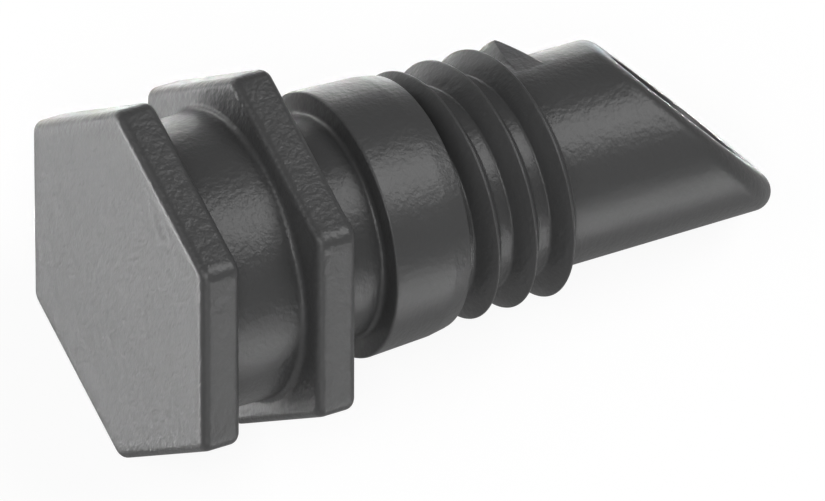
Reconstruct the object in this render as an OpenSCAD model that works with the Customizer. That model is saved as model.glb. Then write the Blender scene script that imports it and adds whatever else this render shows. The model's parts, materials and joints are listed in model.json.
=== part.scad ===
// Tube end plug, moulded in one piece.
//
// Two hexagonal plates make the head, with a groove between them. Behind them
// come a neck, a slightly tapered collar, a right-handed vee thread and a
// hollow nose that is cut off at a slant, so that it leads into the tube.
// The plug lies on a level surface, on the second plate and the nose's tip,
// with its axis in the X-Z plane and its nose towards +X. Sizes are millimetres.

/* [Hexagonal plates] */
// Width of both plates across flats
hex_af = 8.0; // [7.2:0.1:10]
// Thickness of the head plate
head_t = 1.0; // [0.8:0.05:2]
// Thickness of the second plate
flange_t = 1.03; // [0.8:0.01:2]
// Radius of the upright corners of the plates
hex_corner_r = 0.4; // [0.3:0.05:0.8]
// Radius of the edges round both faces of each plate
hex_edge_r = 0.22; // [0.1:0.01:0.28]

/* [Groove and neck] */
// Width of the groove between the two plates
groove_w = 1.99; // [1:0.01:4]
// Diameter at the bottom of the groove
groove_d = 6.8; // [6.4:0.05:7]
// Fillet radius in the corners of the groove
groove_fillet = 0.16; // [0.05:0.01:0.3]
// Length of the neck between the second plate and the collar
neck_len = 1.51; // [1:0.01:3]
// Diameter of the neck
neck_d = 5.24; // [4.9:0.02:5.8]
// Fillet radius at both ends of the neck
neck_fillet = 0.13; // [0.05:0.01:0.25]

/* [Collar] */
// Diameter of the collar at its rear rim
collar_rear_d = 6.34; // [6.3:0.01:6.6]
// Diameter of the collar where its taper steepens
collar_mid_d = 6.2; // [6.15:0.01:6.28]
// Diameter of the collar at its front face
collar_front_d = 6.04; // [6.03:0.01:6.12]
// Length of the collar from the rear rim to where its taper steepens
collar_rear_len = 1.56; // [1:0.02:3]
// Length of the steeper part of the collar
collar_front_len = 0.49; // [0.2:0.01:1]
// Radius of the collar's rear rim
collar_rim_r = 0.06; // [0.03:0.01:0.12]

/* [Thread] */
// Diameter over the crests of the thread
thread_d = 6.02; // [5.6:0.01:6.02]
// Distance from one crest to the next
thread_pitch = 1.0; // [0.9:0.05:1.6]
// Angle between the two flanks
thread_angle = 60; // [50:1:66]
// Width of the flat on the crest
thread_crest = 0.05; // [0.02:0.01:0.1]
// Whole turns from the collar's front face to the flat that ends the thread, counted at the top
thread_turns = 3; // [1:1:4]

/* [Nose] */
// Diameter of the nose
nose_d = 4.95; // [4.6:0.05:5.2]
// Length of the nose in front of the collar, measured on the axis to the slanted cut
nose_len = 7.69; // [6.6:0.05:12]
// Angle between the slanted cut and the axis
cut_angle = 45.7; // [40:0.1:70]
// Radius of the rounded rim all round the slanted cut
nose_rim_r = 0.47; // [0.3:0.01:0.7]

/* [Core hole] */
// Diameter of the blind hole in the nose
core_d = 3.15; // [2:0.05:3.4]
// Distance from the nose's axis to the hole's, towards the shoulder of the slanted cut
core_offset = 0.39; // [0:0.01:0.4]
// Wall left between the bottom of the hole and the groove between the plates
core_floor = 2.0; // [1:0.1:4]

/* [Hidden] */
$fn = 96;

// Places along the axis, counted from the head's outer face
flange_x = head_t + groove_w;
neck_x = flange_x + flange_t;
collar_x = neck_x + neck_len;
collar_mid_x = collar_x + collar_rear_len;
collar_end_x = collar_mid_x + collar_front_len;
cut_x = collar_end_x + nose_len;
core_x = flange_x + core_floor;

// Pieces that merge reach this far into each other
sink = 0.3;

full_turn = 360;
// Steps in a circle for the parts that are made of short straight facets
hull_steps = 32;
thread_steps = 48;
rim_steps = 72;
rim_arc_steps = 8;

// The nose's rounded tip is set this far inside the plain cylinder that it continues
tip_step = 0.01;
tip_r = nose_d / 2 - tip_step;
// Rim centres: the ball that rounds the rim rolls on the inside of the wall and of the cut
ball_r = tip_r - nose_rim_r;
ball_x = cut_x - nose_rim_r / sin(cut_angle);
// Where the plain cylinder of the nose gives way to the tip, clear of the rounded shoulder
shoulder_x = ball_x - ball_r / tan(cut_angle) - 0.05;

// The thread leaves the collar's front face half a turn before its first crest shows on top
thread_top_x = collar_end_x + thread_pitch / 2;
// The flat that ends the thread lies just under the top of the nose
end_flat_z = nose_d / 2 - 0.02;
thread_end = full_turn * thread_turns;
// Half the width of the thread at a given radius
function thread_half(r) = thread_crest / 2 + (thread_d / 2 - r) * tan(thread_angle / 2);
thread_foot_r = nose_d / 2 - 0.12;
// The hidden start of the thread lies wholly inside the collar
thread_start = -full_turn / 2 - full_turn * (thread_half(thread_foot_r) + 0.04) / thread_pitch;

// Lying down: one flat of the second plate faces the surface, and the plug tips forward
// by the angle at which the plate's lower rear edge and the nose's tip are equally low
plate_rear_x = neck_x - hex_edge_r;
plate_low = hex_af / 2 - hex_edge_r;
lie_least = -20;
lie_most = 40;
lie_tries = 40;
function plate_depth(a) = plate_rear_x * sin(a) + plate_low * cos(a) + hex_edge_r;
function tip_reach(up, side) = ball_r * norm([up, side]);
function tip_depth(a) = ball_x * sin(a) + nose_rim_r
    + tip_reach(sin(a) / tan(cut_angle) + cos(30) * cos(a), sin(30) * cos(a));
function lie_angle(low, high, tries) =
    let (mid = (low + high) / 2)
    tries == 0 ? mid
    : tip_depth(mid) < plate_depth(mid) ? lie_angle(mid, high, tries - 1)
    : lie_angle(low, mid, tries - 1);
lie_a = lie_angle(lie_least, lie_most, lie_tries);
lie_h = plate_depth(lie_a);
lie_rear = hex_edge_r * cos(lie_a) - plate_low * sin(lie_a) - hex_edge_r;
lie_front = ball_x * cos(lie_a) + nose_rim_r
    + tip_reach(cos(30) * sin(lie_a) - cos(lie_a) / tan(cut_angle), sin(30) * sin(lie_a));

// Turns a shape that was built along Z so that it lies along X
module along_x() {
    rotate([0, 90, 0])
        children();
}

// One corner of a plate: a disc with rounded edges
module plate_corner(t) {
    along_x()
        rotate_extrude($fn = hull_steps) {
            square([hex_corner_r - hex_edge_r, t]);
            translate([0, hex_edge_r])
                square([hex_corner_r, t - 2 * hex_edge_r]);
            for (y = [hex_edge_r, t - hex_edge_r])
                translate([hex_corner_r - hex_edge_r, y])
                    intersection() {
                        circle(hex_edge_r, $fn = hull_steps);
                        translate([-hex_corner_r + hex_edge_r, -hex_edge_r])
                            square([hex_corner_r, 2 * hex_edge_r]);
                    }
        }
}

// Hexagonal plate with rounded corners and edges, one corner upwards
module hex_plate(x, t) {
    corner_at = (hex_af / 2 - hex_corner_r) / cos(30);
    translate([x, 0, 0])
        hull()
            for (i = [0:5])
                rotate([60 * i, 0, 0])
                    translate([0, 0, corner_at])
                        plate_corner(t);
}

// Fillet in the corner between a shaft of radius r and a face at x; side is the way it grows
module fillet_profile(r, x, side, f) {
    translate([r, x])
        difference() {
            translate([-sink, side > 0 ? -sink : -f])
                square([sink + f, sink + f]);
            translate([f, side * f])
                circle(f);
        }
}

// Half section of everything round: groove, neck, collar and the plain nose
module round_profile() {
    // Bottom of the groove
    translate([0, head_t - sink])
        square([groove_d / 2, groove_w + 2 * sink]);
    fillet_profile(groove_d / 2, head_t, 1, groove_fillet);
    fillet_profile(groove_d / 2, flange_x, -1, groove_fillet);
    // Neck
    translate([0, flange_x])
        square([neck_d / 2, collar_x - flange_x + sink]);
    fillet_profile(neck_d / 2, neck_x, 1, neck_fillet);
    fillet_profile(neck_d / 2, collar_x, -1, neck_fillet);
    // Collar, with its rounded rear rim
    rim_at = collar_rear_d / 2 - collar_rim_r;
    polygon([
        [0, collar_x],
        [rim_at, collar_x],
        [rim_at, collar_x + collar_rim_r],
        [collar_rear_d / 2, collar_x + collar_rim_r],
        [collar_mid_d / 2, collar_mid_x],
        [collar_front_d / 2, collar_end_x],
        [0, collar_end_x]
    ]);
    translate([rim_at, collar_x + collar_rim_r])
        circle(collar_rim_r);
    // Plain nose
    translate([0, collar_end_x - sink])
        square([nose_d / 2, shoulder_x - collar_end_x + sink]);
}

// The nose's tip, lofted ring by ring from the plain cylinder round the rim to the slanted cut
module nose_tip() {
    cut_normal = [sin(cut_angle), 0, cos(cut_angle)];
    function outward(a) = [0, -sin(a), cos(a)];
    function ball(a) = [ball_x - ball_r * cos(a) / tan(cut_angle), 0, 0] + ball_r * outward(a);
    // Direction from the ball's centre, turned from straight outward to the cut's normal
    function arc_dir(a, s) =
        let (
            o = outward(a),
            w = acos(o * cut_normal)
        )
        (sin((1 - s) * w) * o + sin(s * w) * cut_normal) / sin(w);
    angles = [for (i = [0:rim_steps - 1]) (i + 0.5) * full_turn / rim_steps];
    base = [for (a = angles) [shoulder_x - sink, 0, 0] + tip_r * outward(a)];
    arcs = [
        for (j = [0:rim_arc_steps])
            for (a = angles)
                ball(a) + nose_rim_r * arc_dir(a, j / rim_arc_steps)
    ];
    rings = rim_arc_steps + 2;
    function at(j, i) = j * rim_steps + i % rim_steps;
    polyhedron(
        points = concat(base, arcs),
        faces = concat(
            [[for (i = [0:rim_steps - 1]) at(0, i)]],
            [
                for (j = [0:rings - 2])
                    for (i = [0:rim_steps - 1])
                        each [
                            [at(j, i), at(j + 1, i), at(j + 1, i + 1)],
                            [at(j, i), at(j + 1, i + 1), at(j, i + 1)]
                        ]
            ],
            [[for (i = [rim_steps - 1:-1:0]) at(rings - 1, i)]]
        ),
        convexity = 2
    );
}

// The vee thread: one section swept along the helix, with its feet under the nose's surface.
// Angles count from the top, towards -Y; in the last part a level flat cuts the crest away.
module thread() {
    steps = ceil((thread_end - thread_start) * thread_steps / full_turn);
    function angle_at(i) = thread_start + (thread_end - thread_start) * i / steps;
    function top_r(a) =
        let (left = thread_end - a)
        left >= full_turn / 4 ? thread_d / 2 : min(thread_d / 2, end_flat_z / cos(left));
    function spot(a, r, dx) = [thread_top_x + thread_pitch * a / full_turn + dx, -r * sin(a), r * cos(a)];
    foot_w = thread_half(thread_foot_r);
    points = [
        for (i = [0:steps])
            let (
                a = angle_at(i),
                r = top_r(a),
                w = thread_half(r)
            )
            each [
                spot(a, thread_foot_r, -foot_w),
                spot(a, r, -w),
                spot(a, r, w),
                spot(a, thread_foot_r, foot_w)
            ]
    ];
    sides = [
        for (i = [0:steps - 1])
            for (k = [0:3])
                let (
                    p = 4 * i + k,
                    q = 4 * i + (k + 1) % 4
                )
                each [
                    [p, q, q + 4],
                    [p, q + 4, p + 4]
                ]
    ];
    last = 4 * steps;
    polyhedron(
        points = points,
        faces = concat([[3, 2, 1, 0]], sides, [[last, last + 1, last + 2, last + 3]]),
        convexity = 8
    );
}

// The whole plug along its own axis, with the head's outer face at zero
module plug_on_axis() {
    difference() {
        union() {
            hex_plate(0, head_t);
            hex_plate(flange_x, flange_t);
            along_x()
                rotate_extrude()
                    round_profile();
            nose_tip();
            thread();
        }
        // Blind hole, open through the slanted cut
        translate([core_x, 0, core_offset])
            along_x()
                cylinder(d = core_d, h = cut_x - core_x + nose_d);
    }
}

module end_plug() {
    color("dimgray")
        translate([-(lie_rear + lie_front) / 2, 0, lie_h])
            rotate([0, lie_a, 0])
                rotate([-30, 0, 0])
                    plug_on_axis();
}

end_plug();
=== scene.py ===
import json
import math

import bmesh
import bpy
from bpy.props import FloatProperty, FloatVectorProperty, IntProperty, PointerProperty
from mathutils import Euler, Matrix, Vector


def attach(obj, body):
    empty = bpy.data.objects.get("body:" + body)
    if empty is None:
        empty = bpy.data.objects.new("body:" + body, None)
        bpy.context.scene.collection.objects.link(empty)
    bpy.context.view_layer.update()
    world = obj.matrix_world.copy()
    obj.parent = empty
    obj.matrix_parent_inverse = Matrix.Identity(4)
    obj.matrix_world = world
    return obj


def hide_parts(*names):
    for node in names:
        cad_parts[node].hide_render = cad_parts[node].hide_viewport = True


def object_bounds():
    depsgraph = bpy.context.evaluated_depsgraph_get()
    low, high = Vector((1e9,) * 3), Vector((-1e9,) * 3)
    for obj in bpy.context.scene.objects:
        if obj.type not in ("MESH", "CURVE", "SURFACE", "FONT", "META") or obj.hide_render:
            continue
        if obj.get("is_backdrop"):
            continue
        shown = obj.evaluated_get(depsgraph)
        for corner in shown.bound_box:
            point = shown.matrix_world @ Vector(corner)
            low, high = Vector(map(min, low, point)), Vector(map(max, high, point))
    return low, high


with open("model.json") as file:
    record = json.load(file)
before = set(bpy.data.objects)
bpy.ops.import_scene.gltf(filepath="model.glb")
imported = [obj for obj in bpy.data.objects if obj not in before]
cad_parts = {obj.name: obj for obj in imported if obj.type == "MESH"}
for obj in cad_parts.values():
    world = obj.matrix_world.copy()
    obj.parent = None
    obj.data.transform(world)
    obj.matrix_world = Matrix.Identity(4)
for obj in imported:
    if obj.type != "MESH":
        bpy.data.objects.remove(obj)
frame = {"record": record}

bl_info = {
    "name": "Tube end plug",
    "version": (1, 0, 0),
    "blender": (4, 5, 0),
    "location": "View3D > Sidebar > End plug",
    "description": "Builds the moulded skin and the vee thread of a tube end plug, with its studio",
    "category": "Add Mesh",
}

MM = 0.001
CAD_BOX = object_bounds()

# The plug is rolled round its axis so that the plates lie on a flat
PLATE_ROLL = math.radians(-30)

# Small shapes of the skin
TAPER_BLEND = 0.06 * MM
TAPER_SINK = 0.002 * MM
COLLAR_SOFT = 0.035 * MM
NOSE_FOOT = 0.07 * MM
SHOULDER_GAP = 0.1 * MM
HOLE_FLOOR_RADIUS = 0.3 * MM
# The rings of the hole's mouth: how much wider than the hole, and how deep under the cut
HOLE_MOUTH = ((0.05, 0), (0.018, 0), (0.005, 0.004), (0, 0.016), (0, 0.08))

# A flat ring lies this many radii from where each edge or fillet starts
EDGE_SUPPORT = 1.5
FILLET_SUPPORT = 1.6

# Steps of each kind of curve
EDGE_STEPS = 8
RIM_STEPS = 6
SOFT_STEPS = 4
NOSE_STEPS = 16
HOLE_STEPS = 8

# Edges sharper than this stay sharp, and large faces weigh this much in the shading
SHARP_FROM = math.radians(32)
FACE_WEIGHT = 60

# The thread starts this many turns before its first crest on top, hidden in the collar
THREAD_START = -0.95
# How deep under the nose's skin the section is closed, and the skirt along its feet ends
THREAD_SINK = 0.15 * MM
THREAD_SKIRT = 0.03 * MM
# The level flat that ends the thread lies this far under the nose's top, and cuts the crest
# away over no more than this part of a turn
END_FLAT_DEPTH = 0.01 * MM
END_SWING = math.radians(80)
# Points closer than this become one
THREAD_MERGE = 0.0002 * MM

# The grain's noises, from coarse to fine and then the slow drift of tone: how many times
# finer than the grain each one is, its detail and its roughness
GRAIN_NOISES = ((0.5, 0, 0.5), (1.2, 1, 0.5), (3.2, 2, 0.6), (0.08, 2, 0.5))
# The mould's grain is drawn out upright
GRAIN_STRETCH = (1, 1, 0.5)
# Shares of the coarse, middle and fine noise in the grain's height
GRAIN_MIX = (0.35, 0.5, 0.15)
# The deeper grain of the plates ends this far in front of the second plate
PLATE_GRAIN_END = 0.02 * MM
# The plastic's darkest tone, as a share of its colour, and how much lighter it gets
TONE_LEAST = 0.94
TONE_SPREAD = 0.12
# How far the fine noise and the slow drift change the roughness
SPECK_ROUGHNESS = 0.12
DRIFT_ROUGHNESS = 0.05
PLASTIC_IOR = 1.46


def mount(name):
    """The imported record's mount of that name."""
    return next(m for m in frame["record"]["mounts"] if m["name"] == name)


def lying_plug():
    """Where the plug lies: a matrix from the plug's own axis, with its head at zero, to the model."""
    head = mount("head_face")
    tip_down = math.asin(head["axis"][2])
    turn = Matrix.Rotation(tip_down, 4, "Y") @ Matrix.Rotation(PLATE_ROLL, 4, "X")
    return Matrix.Translation(head["pos_m"]) @ turn


def length(name, description, value, low, high):
    """A length property, given in millimetres and kept in metres."""
    return FloatProperty(
        name=name,
        description=description,
        default=value * MM,
        min=low * MM,
        max=high * MM,
        unit="LENGTH",
        subtype="DISTANCE",
        precision=6,
    )


def angle(name, description, value, low, high):
    """An angle property, given in degrees and kept in radians."""
    return FloatProperty(
        name=name,
        description=description,
        default=math.radians(value),
        min=math.radians(low),
        max=math.radians(high),
        unit="ROTATION",
        subtype="ANGLE",
    )


class PlateSizes(bpy.types.PropertyGroup):
    """Sizes of the two hexagonal plates"""

    across_flats: length("Across flats", "Width of both plates across flats", 8.0, 7.2, 10)
    head_thickness: length("Head thickness", "Thickness of the head plate", 1.0, 0.8, 2)
    second_thickness: length("Second thickness", "Thickness of the second plate", 1.03, 0.8, 2)
    groove_width: length("Groove width", "Gap between the two plates", 1.99, 1, 4)
    corner_radius: length("Corner radius", "Radius of the upright corners", 0.4, 0.3, 0.8)
    edge_radius: length("Edge radius", "Radius of the edges round each face", 0.22, 0.1, 0.28)


class StemSizes(bpy.types.PropertyGroup):
    """Sizes of the groove, the neck and the collar"""

    groove_diameter: length("Groove diameter", "Diameter at the bottom of the groove", 6.8, 6.4, 7)
    groove_fillet: length("Groove fillet", "Fillet in the corners of the groove", 0.16, 0.05, 0.3)
    neck_length: length("Neck length", "From the second plate to the collar", 1.51, 1, 3)
    neck_diameter: length("Neck diameter", "Diameter of the neck", 5.24, 4.9, 5.8)
    neck_fillet: length("Neck fillet", "Fillet at both ends of the neck", 0.13, 0.05, 0.25)
    collar_rear: length("Collar rear", "Diameter of the collar at its rear rim", 6.34, 6.3, 6.6)
    collar_mid: length("Collar middle", "Diameter where the taper steepens", 6.2, 6.15, 6.28)
    collar_front: length("Collar front", "Diameter at the collar's front face", 6.04, 6.03, 6.12)
    rear_length: length("Rear length", "Length of the collar's slight taper", 1.56, 1, 3)
    front_length: length("Front length", "Length of the collar's steeper taper", 0.49, 0.2, 1)
    rim_radius: length("Rim radius", "Radius of the collar's rear rim", 0.06, 0.03, 0.12)


class NoseSizes(bpy.types.PropertyGroup):
    """Sizes of the hollow nose"""

    diameter: length("Diameter", "Diameter of the nose", 4.95, 4.6, 5.2)
    reach: length("Length", "From the collar to the slanted cut, on the axis", 7.69, 6.6, 12)
    cut_angle: angle("Cut angle", "Between the slanted cut and the axis", 45.7, 40, 70)
    rim_radius: length("Rim radius", "Radius of the rounded rim of the cut", 0.47, 0.3, 0.7)
    hole_diameter: length("Hole diameter", "Diameter of the blind hole", 3.15, 2, 3.4)
    hole_offset: length(
        "Hole offset", "From the nose's axis to the hole's, towards the shoulder", 0.39, 0, 0.4
    )
    hole_floor: length("Hole floor", "From the groove's rear wall to the hole's bottom", 2.0, 1, 4)


class ThreadSizes(bpy.types.PropertyGroup):
    """Sizes of the vee thread"""

    crest_diameter: length("Crest diameter", "Diameter over the crests", 6.02, 5.6, 6.04)
    pitch: length("Pitch", "From one crest to the next", 1.0, 0.9, 1.6)
    vee_angle: angle("Vee angle", "Between the two flanks", 60, 50, 66)
    crest_radius: length("Crest radius", "Rounding of the crest", 0.04, 0.02, 0.08)
    foot_fillet: length("Foot fillet", "Fillet at the feet of the flanks", 0.08, 0.03, 0.12)
    turns: IntProperty(
        name="Turns", description="Turns counted at the top", default=3, min=1, max=4
    )


class PlasticFinish(bpy.types.PropertyGroup):
    """Colour and grain of the moulded plastic"""

    colour: FloatVectorProperty(
        name="Colour",
        description="Colour of the plastic",
        default=(0.057, 0.0572, 0.0576),
        size=3,
        min=0,
        max=1,
        subtype="COLOR",
    )
    roughness: FloatProperty(
        name="Roughness", description="Mean roughness of the skin", default=0.34, min=0.1, max=1
    )
    grain: length("Grain", "Size of the grain that the mould leaves", 0.14, 0.02, 0.5)
    grain_height: length("Grain height", "Height of the grain", 0.022, 0, 0.1)
    plate_grain: FloatProperty(
        name="Grain on the plates",
        description="How many times deeper the grain is on the plates and in the groove",
        default=1.4,
        min=1,
        max=3,
    )


class StudioSettings(bpy.types.PropertyGroup):
    """Floor, lamps and camera"""

    floor_colour: FloatVectorProperty(
        name="Floor",
        description="Colour of the floor",
        default=(0.45, 0.45, 0.45),
        size=3,
        min=0,
        max=1,
        subtype="COLOR",
    )
    gloss_share: FloatProperty(
        name="White in the gloss",
        description="Share of the white surroundings that reflections see",
        default=0.12,
        min=0,
        max=1,
    )
    shadow: FloatProperty(
        name="Shadow",
        description="Share of the floor's own light and shade in what is seen of it",
        default=0.25,
        min=0,
        max=1,
    )
    lamp_level: FloatProperty(
        name="Lamps", description="Level of all the lamps together", default=1.0, min=0, max=4
    )
    sky: FloatProperty(
        name="Sky", description="Strength of the even light from all round", default=0.12, min=0, max=1
    )


class Value:
    """A number in a node tree. Sums, products and the like of it add Math nodes."""

    def __init__(self, maker, socket):
        self.maker = maker
        self.socket = socket

    def maths(self, operation, *values):
        inputs = dict(enumerate(values))
        return self.maker.add("ShaderNodeMath", {"operation": operation}, inputs)

    def __add__(self, other):
        return self.maths("ADD", self, other)

    def __radd__(self, other):
        return self.maths("ADD", other, self)

    def __sub__(self, other):
        return self.maths("SUBTRACT", self, other)

    def __rsub__(self, other):
        return self.maths("SUBTRACT", other, self)

    def __mul__(self, other):
        return self.maths("MULTIPLY", self, other)

    def __rmul__(self, other):
        return self.maths("MULTIPLY", other, self)

    def __truediv__(self, other):
        return self.maths("DIVIDE", self, other)

    def __rtruediv__(self, other):
        return self.maths("DIVIDE", other, self)

    def __lt__(self, other):
        return self.maths("LESS_THAN", self, other)

    def __gt__(self, other):
        return self.maths("GREATER_THAN", self, other)

    def __abs__(self):
        return self.maths("ABSOLUTE", self)

    def __round__(self):
        return self.maths("ROUND", self)

    def sign(self):
        return self.maths("SIGN", self)

    def sin(self):
        return self.maths("SINE", self)

    def cos(self):
        return self.maths("COSINE", self)

    def tan(self):
        return self.maths("TANGENT", self)

    def smaller(self, other):
        return self.maths("MINIMUM", self, other)

    def larger(self, other):
        return self.maths("MAXIMUM", self, other)

    def blend(self, other, share):
        """This value where share is 0, the other where it is 1."""
        return self + (other - self) * share


class NodeMaker:
    """Adds nodes to one tree."""

    def __init__(self, tree):
        self.tree = tree

    def add(self, kind, settings=None, inputs=None, output=0):
        """A node of that kind, with its settings made first, then its sockets filled or linked."""
        node = self.tree.nodes.new(kind)
        for name, value in (settings or {}).items():
            setattr(node, name, value)
        for key, value in (inputs or {}).items():
            if isinstance(value, Value):
                self.tree.links.new(value.socket, node.inputs[key])
            else:
                node.inputs[key].default_value = value
        return Value(self, node.outputs[output]) if node.outputs else None


def ring(x, radius, angles):
    """A circle round the axis; angles count from the top, towards -Y."""
    return [(x, -radius * math.sin(a), radius * math.cos(a)) for a in angles]


def arc(start, stop, steps):
    """Evenly spaced angles from start to stop, in degrees, both ends included."""
    return [math.radians(start + (stop - start) * k / steps) for k in range(steps + 1)]


class HexOutline:
    """The rounded hexagon, walked in columns that the round parts share."""

    corner_steps = 12
    flat_steps = 30

    def __init__(self, across_flats, corner_radius):
        self.radius = corner_radius
        self.columns = []
        half = across_flats / 2
        middle = (half - corner_radius) / math.cos(math.radians(30))
        swing = math.atan2(
            corner_radius * math.sin(math.radians(30)),
            middle + corner_radius * math.cos(math.radians(30)),
        )
        for corner in range(6):
            at = math.radians(60 * corner)
            centre = (middle * math.cos(at), middle * math.sin(at))
            for normal in arc(60 * corner - 30, 60 * corner + 30, self.corner_steps):
                self.columns.append((centre, normal))
            facing = at + math.radians(30)
            first, last = at + swing, at + math.radians(60) - swing
            for k in range(1, self.flat_steps):
                a = first + (last - first) * k / self.flat_steps
                out = half / math.cos(a - facing)
                base = (
                    out * math.cos(a) - corner_radius * math.cos(facing),
                    out * math.sin(a) - corner_radius * math.sin(facing),
                )
                self.columns.append((base, facing))
        self.angles = [
            math.atan2(
                base[1] + corner_radius * math.sin(normal),
                base[0] + corner_radius * math.cos(normal),
            )
            for base, normal in self.columns
        ]

    def at(self, x, inset):
        """The outline at one place on the axis, moved in by inset."""
        out = self.radius - inset
        return [
            (x, -base[1] - out * math.sin(normal), base[0] + out * math.cos(normal))
            for base, normal in self.columns
        ]


def closed_skin(name, rings, start, stop):
    """One closed mesh from rings of points, with a point at either end."""
    count = len(rings[0])
    points = [start] + [p for r in rings for p in r] + [stop]
    faces = [(0, 1 + (i + 1) % count, 1 + i) for i in range(count)]
    for j in range(len(rings) - 1):
        a, b = 1 + j * count, 1 + (j + 1) * count
        for i in range(count):
            k = (i + 1) % count
            faces.append((a + i, a + k, b + k, b + i))
    a, end = 1 + (len(rings) - 1) * count, len(points) - 1
    faces += [(end, a + i, a + (i + 1) % count) for i in range(count)]
    mesh = bpy.data.meshes.new(name)
    mesh.from_pydata(points, [], faces)
    return mesh


def outward(mesh):
    """Turns every face of a closed mesh outwards."""
    shape = bmesh.new()
    shape.from_mesh(mesh)
    bmesh.ops.recalc_face_normals(shape, faces=shape.faces)
    shape.to_mesh(mesh)
    shape.free()


def add_piece(name, mesh, material):
    """Makes the finished object, laid where the plug lies, and ties it to the frame."""
    mesh.transform(lying_plug())
    outward(mesh)
    mesh.shade_smooth()
    mesh.set_sharp_from_angle(angle=SHARP_FROM)
    rough = bpy.data.objects.new(name + "_rough", mesh)
    bpy.context.scene.collection.objects.link(rough)
    weigh = rough.modifiers.new("weighted normals", "WEIGHTED_NORMAL")
    weigh.keep_sharp = True
    weigh.weight = FACE_WEIGHT
    bpy.context.view_layer.update()
    graph = bpy.context.evaluated_depsgraph_get()
    ready = bpy.data.meshes.new_from_object(
        rough.evaluated_get(graph), preserve_all_data_layers=True, depsgraph=graph
    )
    bpy.data.objects.remove(rough)
    piece = bpy.data.objects.new(name, ready)
    bpy.context.scene.collection.objects.link(piece)
    ready.name = name
    ready.materials.clear()
    ready.materials.append(material)
    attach(piece, "root")
    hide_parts("end_plug")
    return piece


def plates_front(plates):
    """Where the second plate ends and the neck begins, along the plug's axis."""
    return plates.head_thickness + plates.groove_width + plates.second_thickness


def collar_front(plates, stem):
    """Where the collar ends and the nose begins, along the plug's axis."""
    return plates_front(plates) + stem.neck_length + stem.rear_length + stem.front_length


def moulded_plastic():
    """Dark grey plastic with the fine uneven grain of an eroded mould, deepest on the plates."""
    found = bpy.data.materials.get("moulded_plastic")
    if found:
        return found
    scene = bpy.context.scene
    finish = scene.plug_finish
    material = bpy.data.materials.new("moulded_plastic")
    material.use_nodes = True
    tree = material.node_tree
    tree.nodes.clear()
    make = NodeMaker(tree)
    place = make.add("ShaderNodeTexCoord", output="Object")
    unit = 1 / finish.grain

    spot = make.add(
        "ShaderNodeMapping", {"vector_type": "POINT"}, {"Vector": place, "Scale": GRAIN_STRETCH}
    )
    coarse, grain, speck, drift = [
        make.add(
            "ShaderNodeTexNoise",
            {"noise_dimensions": "3D"},
            {"Vector": spot, "Scale": unit * finer, "Detail": detail, "Roughness": roughness},
        )
        for finer, detail, roughness in GRAIN_NOISES
    ]
    head = mount("head_face")
    axis = -Vector(head["axis"])
    along = make.add(
        "ShaderNodeVectorMath", {"operation": "DOT_PRODUCT"}, {0: place, 1: axis}, output="Value"
    )
    head_at = axis.dot(Vector(head["pos_m"]))
    on_plates = along < head_at + plates_front(scene.plug_plates) + PLATE_GRAIN_END
    depth = 1 + (finish.plate_grain - 1) * on_plates
    height = (coarse * GRAIN_MIX[0] + grain * GRAIN_MIX[1] + speck * GRAIN_MIX[2]) * depth
    bump = make.add(
        "ShaderNodeBump",
        {},
        {"Strength": 1.0, "Distance": finish.grain_height, "Height": height},
    )
    tone = TONE_LEAST + TONE_SPREAD * (grain * 0.6 + drift * 0.4)
    base = tuple(finish.colour) + (1,)
    # Inputs 6 and 7 of the mix are its two colours, and output 2 is the mixed colour
    colour = make.add(
        "ShaderNodeMix",
        {"data_type": "RGBA", "blend_type": "MULTIPLY"},
        {0: 1.0, 6: base, 7: make.add("ShaderNodeCombineColor", {}, {0: tone, 1: tone, 2: tone})},
        output=2,
    )
    least_rough = finish.roughness - SPECK_ROUGHNESS / 2
    rough = least_rough + SPECK_ROUGHNESS * speck + DRIFT_ROUGHNESS * (drift - 0.5)
    shader = make.add(
        "ShaderNodeBsdfPrincipled",
        {},
        {"Base Color": colour, "Roughness": rough, "Normal": bump, "IOR": PLASTIC_IOR},
    )
    make.add("ShaderNodeOutputMaterial", {}, {"Surface": shader})
    return material


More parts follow.
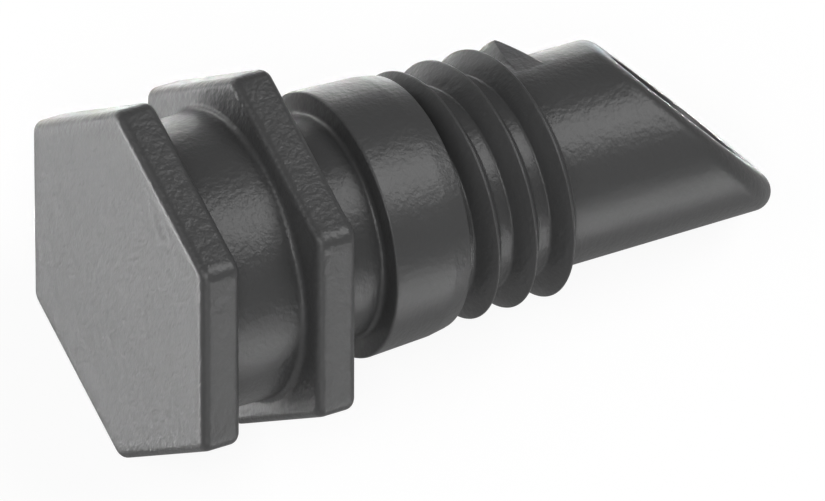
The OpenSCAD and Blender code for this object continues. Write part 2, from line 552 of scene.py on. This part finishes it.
def body_rings(plates, stem, nose):
    """The rings of the plug's skin, from the head's face round to the bottom of the hole."""
    outline = HexOutline(plates.across_flats, plates.corner_radius)
    angles = outline.angles
    edge = plates.edge_radius
    second = plates.head_thickness + plates.groove_width
    neck = plates_front(plates)
    collar = neck + stem.neck_length
    collar_mid = collar + stem.rear_length
    collar_end = collar_front(plates, stem)
    cut = collar_end + nose.reach
    rings = []

    def circle(x, radius):
        rings.append(ring(x, radius, angles))

    def plate(x, thickness):
        front = [(1 - math.cos(t), 1 - math.sin(t)) for t in arc(0, 90, EDGE_STEPS)]
        rings.append(outline.at(x, edge * EDGE_SUPPORT))
        rings.extend(outline.at(x + edge * a, edge * b) for a, b in front)
        rings.append(outline.at(x + thickness / 2, 0))
        rings.extend(outline.at(x + thickness - edge * a, edge * b) for a, b in reversed(front))
        rings.append(outline.at(x + thickness, edge * EDGE_SUPPORT))

    def groove(x, stop, radius, fillet):
        turns = arc(0, 90, EDGE_STEPS)
        circle(x, radius + fillet * FILLET_SUPPORT)
        for t in turns:
            circle(x + fillet * (1 - math.cos(t)), radius + fillet * (1 - math.sin(t)))
        for t in reversed(turns):
            circle(stop - fillet * (1 - math.cos(t)), radius + fillet * (1 - math.sin(t)))
        circle(stop, radius + fillet * FILLET_SUPPORT)

    plate(0, plates.head_thickness)
    groove(plates.head_thickness, second, stem.groove_diameter / 2, stem.groove_fillet)
    plate(second, plates.second_thickness)
    groove(neck, collar, stem.neck_diameter / 2, stem.neck_fillet)

    # Collar: its rounded rear rim, two tapers that run into each other, and its front edge
    rim = stem.rim_radius
    rear = stem.collar_rear / 2 - rim
    circle(collar, rear - rim)
    for t in arc(0, 90, RIM_STEPS):
        circle(collar + rim * (1 - math.cos(t)), rear + rim * math.sin(t))
    circle(collar + rim * 2, stem.collar_rear / 2 - rim * 0.05)
    bend = stem.collar_mid / 2
    rear_slope = (stem.collar_rear - stem.collar_mid) / 2 / stem.rear_length
    front_slope = (stem.collar_mid - stem.collar_front) / 2 / stem.front_length
    for share in (-1, -0.5, 0, 0.5, 1):
        x = collar_mid + share * TAPER_BLEND
        before = bend + rear_slope * (collar_mid - x)
        after = bend - front_slope * (x - collar_mid)
        blend = (share + 1) / 2
        circle(x, before * (1 - blend) + after * blend if share else bend - TAPER_SINK)
    soft = COLLAR_SOFT
    circle(collar_end - 3 * soft, stem.collar_front / 2 + soft * 0.5)
    for t in arc(0, 90, SOFT_STEPS):
        inset = soft * (1 - math.cos(t))
        circle(collar_end - soft * (1 - math.sin(t)), stem.collar_front / 2 - inset)
    circle(collar_end, stem.collar_front / 2 - 2 * soft)
    foot = NOSE_FOOT
    wall = nose.diameter / 2
    circle(collar_end, wall + foot * FILLET_SUPPORT)
    for t in arc(0, 90, RIM_STEPS):
        circle(collar_end + foot * (1 - math.cos(t)), wall + foot * (1 - math.sin(t)))

    # Nose: the plain wall, then a ball's path round the rim to the slanted cut
    lean = math.tan(nose.cut_angle)
    ball = nose.rim_radius
    centre_r = wall - ball
    centre_x = cut - ball / math.sin(nose.cut_angle)
    facing = Vector((math.sin(nose.cut_angle), 0, math.cos(nose.cut_angle)))
    plain = centre_x - centre_r / lean - SHOULDER_GAP
    start = collar_end + foot
    for k in range(1, NOSE_STEPS + 1):
        circle(start + (plain - start) * k / NOSE_STEPS, wall)
    for s in [k / NOSE_STEPS for k in range(NOSE_STEPS + 1)]:
        turned = []
        for a in angles:
            out = Vector((0, -math.sin(a), math.cos(a)))
            middle = Vector((centre_x - centre_r * math.cos(a) / lean, 0, 0)) + centre_r * out
            gap = math.acos(out.dot(facing))
            normal = math.sin((1 - s) * gap) * out + math.sin(s * gap) * facing
            turned.append(tuple(middle + ball * normal / math.sin(gap)))
        rings.append(turned)

    # Hole: its mouth in the cut, its wall, and its rounded floor
    hole = nose.hole_diameter / 2
    bottom = second + nose.hole_floor
    floor_r = HOLE_FLOOR_RADIUS

    def hole_ring(radius, place):
        """A ring of the hole; place gives the distance on the axis from the height over it."""
        raised = [(y, z + nose.hole_offset) for x, y, z in ring(0, radius, angles)]
        rings.append([(place(z), y, z) for y, z in raised])

    for grown, depth in HOLE_MOUTH:
        hole_ring(hole + grown * MM, lambda z: cut - z / lean - depth * MM)
    for k in range(1, HOLE_STEPS + 1):
        share = k / HOLE_STEPS
        hole_ring(hole, lambda z: (cut - z / lean) * (1 - share) + (bottom + floor_r) * share)
    for t in arc(0, 90, RIM_STEPS)[1:]:
        inset = floor_r * (1 - math.cos(t))
        hole_ring(hole - inset, lambda z: bottom + floor_r * (1 - math.sin(t)))
    return rings, (0, 0, 0), (bottom, 0, nose.hole_offset)


THREAD_LENGTHS = (
    "Pitch",
    "Crest radius",
    "Nose radius",
    "Half angle",
    "Crest rounding",
    "Foot fillet",
    "First crest",
    "Start turn",
    "Run-out turn",
    "End turn",
    "End flat",
    "Sunk foot",
)
THREAD_INPUTS = {name: "NodeSocketFloat" for name in THREAD_LENGTHS}
THREAD_INPUTS["Plastic"] = "NodeSocketMaterial"


def thread_tree():
    """A node tree that sweeps the vee section along its helix and cuts its end off level."""
    tree = bpy.data.node_groups.new("thread_ridge", "GeometryNodeTree")
    for name, kind in THREAD_INPUTS.items():
        tree.interface.new_socket(name, in_out="INPUT", socket_type=kind)
    tree.interface.new_socket("Ridge", in_out="OUTPUT", socket_type="NodeSocketGeometry")
    make = NodeMaker(tree)
    group = tree.nodes.new("NodeGroupInput")
    given = {name: Value(make, group.outputs[name]) for name in THREAD_INPUTS}
    crest, wall, beta = given["Crest radius"], given["Nose radius"], given["Half angle"]
    tip, fillet = given["Crest rounding"], given["Foot fillet"]

    crest_steps, flank_steps, foot_steps = 5, 4, 6
    middle = crest_steps + flank_steps + foot_steps + 2
    long_steps, end_steps = 620, 48
    columns = long_steps + end_steps
    sheet = make.add(
        "GeometryNodeMeshGrid",
        {},
        {"Size X": 1.0, "Size Y": 1.0, "Vertices X": 2 * middle + 1, "Vertices Y": columns + 1},
        output="Mesh",
    )
    here = make.add("GeometryNodeInputPosition")
    across = make.add("ShaderNodeSeparateXYZ", {}, {0: here}, output=0)
    along = make.add("ShaderNodeSeparateXYZ", {}, {0: here}, output=1)
    row = round((across + 0.5) * (2 * middle)) - middle
    column = round((along + 0.5) * columns)
    side, step = row.sign(), abs(row)

    # Place on the helix, with one column exactly where the level flat starts
    long_part = given["Start turn"].blend(given["Run-out turn"], column / long_steps)
    end_part = given["Run-out turn"].blend(given["End turn"], (column - long_steps) / end_steps)
    turn = long_part.blend(end_part, column > long_steps)
    swing = turn * (2 * math.pi)
    left = ((given["End turn"] - turn) * (2 * math.pi)).smaller(END_SWING)
    limit = given["End flat"] / left.cos()

    # Half section: rounded crest, straight flank, hollow fillet, and a foot under the nose's skin
    sine, cosine = beta.sin(), beta.cos()
    edge = tip * (1 - sine) / cosine

    def flank(r):
        return edge + (crest - r) * beta.tan()

    quarter = math.pi / 2
    hollow_r = wall + fillet
    hollow_x = flank(hollow_r) + fillet / cosine
    foot_r = hollow_r - fillet * sine
    top = (crest - tip * (1 - sine)).smaller(limit).larger(foot_r)
    share = (step / crest_steps).smaller(1)
    lean = quarter - (quarter - beta) * share
    round_r = crest - tip * (1 - lean.sin())
    round_x = flank(top) * lean.cos() / cosine
    share = ((step - crest_steps) / flank_steps).larger(0).smaller(1)
    straight_r = top.blend(foot_r, share)
    straight_x = flank(straight_r)
    share = ((step - crest_steps - flank_steps) / foot_steps).larger(0).smaller(1)
    lean = beta + (quarter - beta) * share
    hollow_at_r = hollow_r - fillet * lean.sin()
    hollow_at_x = hollow_x - fillet * lean.cos()
    on_flank = step > crest_steps + 0.5
    in_fillet = step > crest_steps + flank_steps + 0.5
    under = step > middle - 1.5
    last = step > middle - 0.5
    r = round_r.blend(straight_r, on_flank).blend(hollow_at_r, in_fillet)
    dx = round_x.blend(straight_x, on_flank).blend(hollow_at_x, in_fillet)
    r = r.smaller(limit).blend(wall - THREAD_SKIRT, under).blend(given["Sunk foot"], last)
    dx = (dx + THREAD_SKIRT * under) * (1 - last)
    closing = (column < 0.5) + (column > columns - 0.5)
    r = r.blend(given["Sunk foot"], closing)
    dx = dx * side * (1 - closing)

    spot = make.add(
        "ShaderNodeCombineXYZ",
        {},
        {
            0: given["First crest"] + given["Pitch"] * turn + dx,
            1: 0 - r * swing.sin(),
            2: r * swing.cos(),
        },
    )
    ridge = make.add("GeometryNodeSetPosition", {}, {"Geometry": sheet, "Position": spot})
    ridge = make.add(
        "GeometryNodeMergeByDistance", {}, {"Geometry": ridge, "Distance": THREAD_MERGE}
    )
    ridge = make.add("GeometryNodeRealizeInstances", {}, {"Geometry": ridge})
    ridge = make.add(
        "GeometryNodeSetMaterial", {}, {"Geometry": ridge, "Material": given["Plastic"]}
    )
    make.add("NodeGroupOutput", {}, {"Ridge": ridge})
    return tree


class PLUG_OT_body(bpy.types.Operator):
    """Build the plates, the groove, the neck, the collar and the hollow nose as one closed skin"""

    bl_idname = "plug.body"
    bl_label = "Build the body"

    def execute(self, context):
        scene = context.scene
        rings, start, stop = body_rings(scene.plug_plates, scene.plug_stem, scene.plug_nose)
        mesh = closed_skin("plug_body", rings, start, stop)
        add_piece("plug_body", mesh, moulded_plastic())
        return {"FINISHED"}


class PLUG_OT_thread(bpy.types.Operator):
    """Build the vee thread with Geometry Nodes, from the collar to the level flat that ends it"""

    bl_idname = "plug.thread"
    bl_label = "Build the thread"

    def execute(self, context):
        scene = context.scene
        sizes = scene.plug_thread
        collar_end = collar_front(scene.plug_plates, scene.plug_stem)
        wall = scene.plug_nose.diameter / 2
        end_flat = wall - END_FLAT_DEPTH
        run_out = math.acos(end_flat / (sizes.crest_diameter / 2)) / (2 * math.pi)
        tree = thread_tree()
        holder = bpy.data.objects.new("thread_holder", bpy.data.meshes.new("thread_holder"))
        scene.collection.objects.link(holder)
        nodes = holder.modifiers.new("thread ridge", "NODES")
        nodes.node_group = tree
        values = {
            "Pitch": sizes.pitch,
            "Crest radius": sizes.crest_diameter / 2,
            "Nose radius": wall,
            "Half angle": sizes.vee_angle / 2,
            "Crest rounding": sizes.crest_radius,
            "Foot fillet": sizes.foot_fillet,
            "First crest": collar_end + sizes.pitch / 2,
            "Start turn": THREAD_START,
            "Run-out turn": sizes.turns - run_out,
            "End turn": float(sizes.turns),
            "End flat": end_flat,
            "Sunk foot": wall - THREAD_SINK,
            "Plastic": moulded_plastic(),
        }
        for socket in tree.interface.items_tree:
            if socket.in_out == "INPUT":
                nodes[socket.identifier] = values[socket.name]
        context.view_layer.update()
        graph = context.evaluated_depsgraph_get()
        mesh = bpy.data.meshes.new_from_object(holder.evaluated_get(graph), depsgraph=graph)
        bpy.data.objects.remove(holder)
        if not mesh.polygons:
            raise RuntimeError("the thread's node tree made no faces")
        add_piece("plug_thread", mesh, moulded_plastic())
        return {"FINISHED"}


# How light the lamps and the sky make the open floor
PAPER_LIGHT = 0.36
FLOOR_HALF = 0.5
WHITE = (1, 1, 1, 1)

# The camera: far off, with a long lens, placed from the plug's own axis
LENS = 626.14
CAMERA_PLACE = (-136.0386, -244.9042, 167.1967)
CAMERA_TURN = (59.31419, -0.204295, -30.304754)
CAMERA_CLIP = (0.01, 10)

# Each lamp's name, the direction it stands in, its width in degrees and its strength
LAMPS = (
    ("top_lamp", (0.58, -0.06, 0.81), 38, 1.25),
    ("front_lamp", (-0.34, -0.45, 0.82), 26, 0.85),
    ("head_lamp", (-0.75, 0.03, 0.66), 36, 0.55),
    ("side_lamp", (-0.52, -0.83, 0.2), 30, 0.45),
    ("low_front_lamp", (0.4, -0.84, -0.33), 32, 0.55),
    ("low_side_lamp", (0.14, -0.98, -0.11), 26, 0.15),
    ("low_head_lamp", (-0.76, 0.44, -0.48), 32, 1.85),
    ("low_under_lamp", (-0.53, 0.39, -0.75), 36, 0.14),
    ("back_lamp", (-0.31, 0.95, -0.1), 30, 0.6),
    ("low_back_lamp", (0.22, 0.74, -0.63), 58, 1.6),
)


class PLUG_OT_studio(bpy.types.Operator):
    """Set up the floor, the lamps and the camera"""

    bl_idname = "plug.studio"
    bl_label = "Set up the studio"

    def execute(self, context):
        scene = context.scene
        settings = scene.plug_studio
        self.floor(scene, settings)
        self.sky(scene, settings)
        for name, towards, width, strength in LAMPS:
            self.lamp(scene, name, Vector(towards), width, strength * settings.lamp_level)
        self.camera(scene)
        scene.view_settings.view_transform = "Standard"
        return {"FINISHED"}

    def floor(self, scene, settings):
        """A plain pale floor, white to the camera but for the plug's faint shadow.

        Reflections see a share of that white, and the lamps below shine through it.
        """
        mesh = bpy.data.meshes.new("studio_floor")
        corners = ((-1, -1), (1, -1), (1, 1), (-1, 1))
        mesh.from_pydata([(x * FLOOR_HALF, y * FLOOR_HALF, 0) for x, y in corners], [], [(0, 1, 2, 3)])
        floor = bpy.data.objects.new("studio_floor", mesh)
        scene.collection.objects.link(floor)
        material = bpy.data.materials.new("floor_paper")
        material.use_nodes = True
        material.node_tree.nodes.clear()
        make = NodeMaker(material.node_tree)
        seen = self.seen(make, settings.gloss_share) * (1 - settings.shadow)
        # The white makes up for the share of the paper, so that the open floor is seen at 1
        level = (1 - settings.shadow * PAPER_LIGHT) / (1 - settings.shadow)
        pale = tuple(settings.floor_colour) + (1,)
        paper = make.add("ShaderNodeBsdfDiffuse", {}, {"Color": pale})
        white = make.add("ShaderNodeEmission", {}, {"Color": WHITE, "Strength": level})
        clear = make.add("ShaderNodeBsdfTransparent")
        both = make.add("ShaderNodeMixShader", {}, {0: seen, 1: paper, 2: white})
        lamp_ray = make.add("ShaderNodeLightPath", output="Is Shadow Ray")
        table = make.add("ShaderNodeMixShader", {}, {0: lamp_ray, 1: both, 2: clear})
        make.add("ShaderNodeOutputMaterial", {}, {"Surface": table})
        mesh.materials.append(material)
        floor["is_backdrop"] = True

    def seen(self, make, gloss):
        """1 for rays from the camera or through glass, gloss for reflections, 0 for the rest."""
        names = ("Is Camera Ray", "Is Transmission Ray", "Is Glossy Ray")
        camera, glass, shine = [make.add("ShaderNodeLightPath", output=name) for name in names]
        return camera.larger(glass).larger(shine * gloss)

    def sky(self, scene, settings):
        """White where it is seen, and a weaker even light on the plug."""
        world = bpy.data.worlds.new("studio_sky")
        world.use_nodes = True
        world.node_tree.nodes.clear()
        make = NodeMaker(world.node_tree)
        strength = settings.sky + (1 - settings.sky) * self.seen(make, settings.gloss_share)
        glow = make.add("ShaderNodeBackground", {}, {"Color": WHITE, "Strength": strength})
        make.add("ShaderNodeOutputWorld", {}, {"Surface": glow})
        scene.world = world

    def lamp(self, scene, name, towards, width, strength):
        """A broad soft lamp, far off in that direction; one below the table shines up through it."""
        light = bpy.data.lights.new(name, "SUN")
        light.angle = math.radians(width)
        light.energy = strength
        light.cycles.use_multiple_importance_sampling = towards.z > 0
        lamp = bpy.data.objects.new(name, light)
        lamp.rotation_euler = (-towards).to_track_quat("-Z", "Y").to_euler()
        scene.collection.objects.link(lamp)

    def camera(self, scene):
        """The photograph's viewpoint, without shift or depth of field."""
        data = bpy.data.cameras.new("studio_camera")
        data.sensor_width = 36
        data.lens = LENS
        data.clip_start, data.clip_end = CAMERA_CLIP
        camera = bpy.data.objects.new("studio_camera", data)
        place = Matrix.Translation(Vector(CAMERA_PLACE) * MM)
        turn = Euler([math.radians(v) for v in CAMERA_TURN], "XYZ")
        camera.matrix_world = lying_plug() @ place @ turn.to_matrix().to_4x4()
        scene.collection.objects.link(camera)
        scene.camera = camera


class PLUG_PT_panel(bpy.types.Panel):
    """The plug's sizes, finish and builders"""

    bl_idname = "PLUG_PT_panel"
    bl_label = "End plug"
    bl_space_type = "VIEW_3D"
    bl_region_type = "UI"
    bl_category = "End plug"

    def draw(self, context):
        for group, builder in GROUPS_SHOWN:
            box = self.layout.box()
            settings = getattr(context.scene, group)
            for name in settings.__annotations__:
                box.prop(settings, name)
            if builder:
                box.operator(builder)


SETTINGS = {
    "plug_plates": PlateSizes,
    "plug_stem": StemSizes,
    "plug_nose": NoseSizes,
    "plug_thread": ThreadSizes,
    "plug_finish": PlasticFinish,
    "plug_studio": StudioSettings,
}
GROUPS_SHOWN = (
    ("plug_plates", None),
    ("plug_stem", None),
    ("plug_nose", "plug.body"),
    ("plug_thread", "plug.thread"),
    ("plug_finish", None),
    ("plug_studio", "plug.studio"),
)
CLASSES = tuple(SETTINGS.values()) + (PLUG_OT_body, PLUG_OT_thread, PLUG_OT_studio, PLUG_PT_panel)


def register():
    for cls in CLASSES:
        bpy.utils.register_class(cls)
    for name, group in SETTINGS.items():
        setattr(bpy.types.Scene, name, PointerProperty(type=group))


def unregister():
    for name in SETTINGS:
        delattr(bpy.types.Scene, name)
    for cls in reversed(CLASSES):
        bpy.utils.unregister_class(cls)


def main():
    register()
    bpy.ops.plug.body()
    bpy.ops.plug.thread()
    bpy.ops.plug.studio()
    boxes = {"cad": CAD_BOX, "visual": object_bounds()}
    {name: [list(p) for p in box] for name, box in boxes.items()}


if __name__ == "__main__":
    main()
